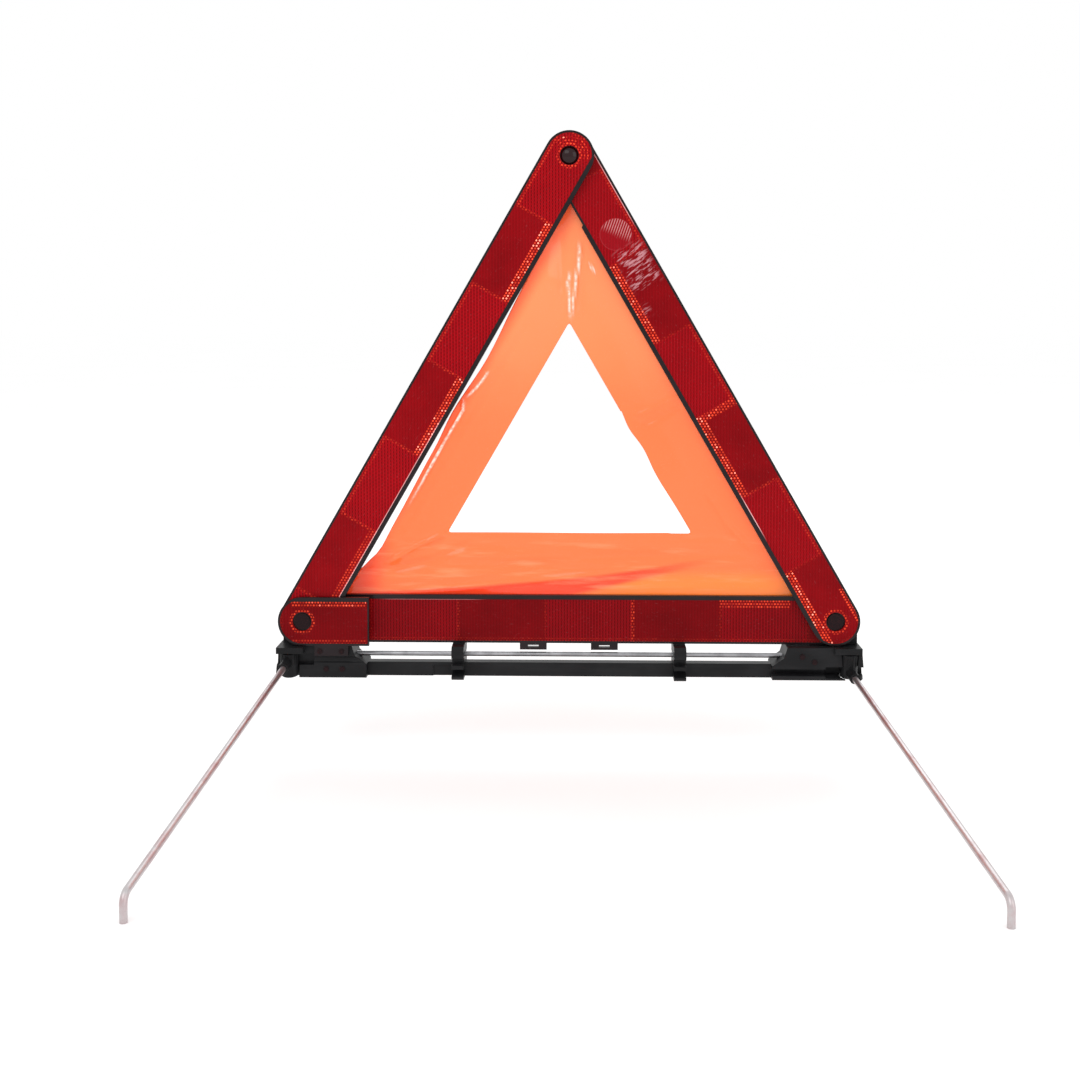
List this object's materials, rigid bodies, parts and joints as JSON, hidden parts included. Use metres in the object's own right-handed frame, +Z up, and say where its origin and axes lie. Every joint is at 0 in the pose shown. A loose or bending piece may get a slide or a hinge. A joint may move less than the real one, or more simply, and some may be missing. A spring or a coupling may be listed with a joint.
{
  "type": "folding warning triangle",
  "caption": "Free-standing folding warning triangle with red reflector arms, fluorescent orange film, black base and wire legs.",
  "frame": {"origin": "middle of the four feet, on the ground", "axes": "+Z up, +X to the right as seen from the reflector side, the reflectors face -Y"},
  "size_m": [0.4812, 0.6166, 0.4612],
  "materials": {
    "base_black": "moulded black plastic, satin",
    "arm_black": "moulded black plastic, semi-gloss",
    "gloss_black": "polished black plastic",
    "rivet_black": "black plastic rivet",
    "red_lens": "transparent red prism lens over a reflecting back",
    "orange_film": "fluorescent orange-red film, glossy",
    "leg_wire": "drawn steel wire",
    "bright_steel": "bright zinc-plated steel"
  },
  "bodies": {
    "base": {"base_frame": "base_black", "stiffener_rod": "bright_steel", "housing_screws": "rivet_black", "bottom_arm": "arm_black", "bottom_lens": "red_lens", "bottom_arm_rivet": "bright_steel", "left_corner_cover": "arm_black", "left_corner_lens": "red_lens", "cover_screws": "rivet_black", "left_pivot_rivet": "rivet_black", "right_pivot_pin": "rivet_black", "right_pivot_washer": "bright_steel", "film": "orange_film", "film_rivets_bottom": "rivet_black", "front_left_pin": "bright_steel", "front_right_pin": "bright_steel", "rear_left_pin": "bright_steel", "rear_right_pin": "bright_steel"},
    "left_arm": {"left_arm": "arm_black", "left_lens": "red_lens", "apex_button": "gloss_black", "film_rivets_left": "rivet_black"},
    "right_arm": {"right_arm": "arm_black", "right_lens": "red_lens", "apex_stud": "rivet_black", "film_rivets_right": "rivet_black"},
    "front_left_leg": {"front_left_leg": "leg_wire", "front_left_knuckle": "base_black"},
    "front_right_leg": {"front_right_leg": "leg_wire", "front_right_knuckle": "base_black"},
    "rear_left_leg": {"rear_left_leg": "leg_wire", "rear_left_knuckle": "base_black"},
    "rear_right_leg": {"rear_right_leg": "leg_wire", "rear_right_knuckle": "base_black"}
  },
  "joints": [
    {"name": "left_arm_fold", "type": "hinge", "parent": "base", "child": "left_arm", "pos_m": [-0.197, -0.0096, 0.102], "axis": [0, 1, 0], "range_deg": [0, 60], "deforming": ["film"]},
    {"name": "right_arm_fold", "type": "hinge", "parent": "base", "child": "right_arm", "pos_m": [0.197, -0.0048, 0.102], "axis": [0, -1, 0], "range_deg": [0, 60]},
    {"name": "front_left_leg_swing", "type": "hinge", "parent": "base", "child": "front_left_leg", "pos_m": [-0.207, -0.0134, 0.073], "axis": [0, -0.1944, 0.9809], "range_deg": [0, 96]},
    {"name": "front_right_leg_swing", "type": "hinge", "parent": "base", "child": "front_right_leg", "pos_m": [0.207, -0.007, 0.066], "axis": [0, 0.1709, -0.9853], "range_deg": [0, 96]},
    {"name": "rear_left_leg_swing", "type": "hinge", "parent": "base", "child": "rear_left_leg", "pos_m": [-0.207, 0.0134, 0.073], "axis": [0, -0.1944, -0.9809], "range_deg": [0, 96]},
    {"name": "rear_right_leg_swing", "type": "hinge", "parent": "base", "child": "rear_right_leg", "pos_m": [0.207, 0.007, 0.066], "axis": [0, 0.1709, 0.9853], "range_deg": [0, 96]}
  ],
  "couplings": [
    {"joint": "right_arm_fold", "follows": "left_arm_fold", "ratio": 1}
  ]
}
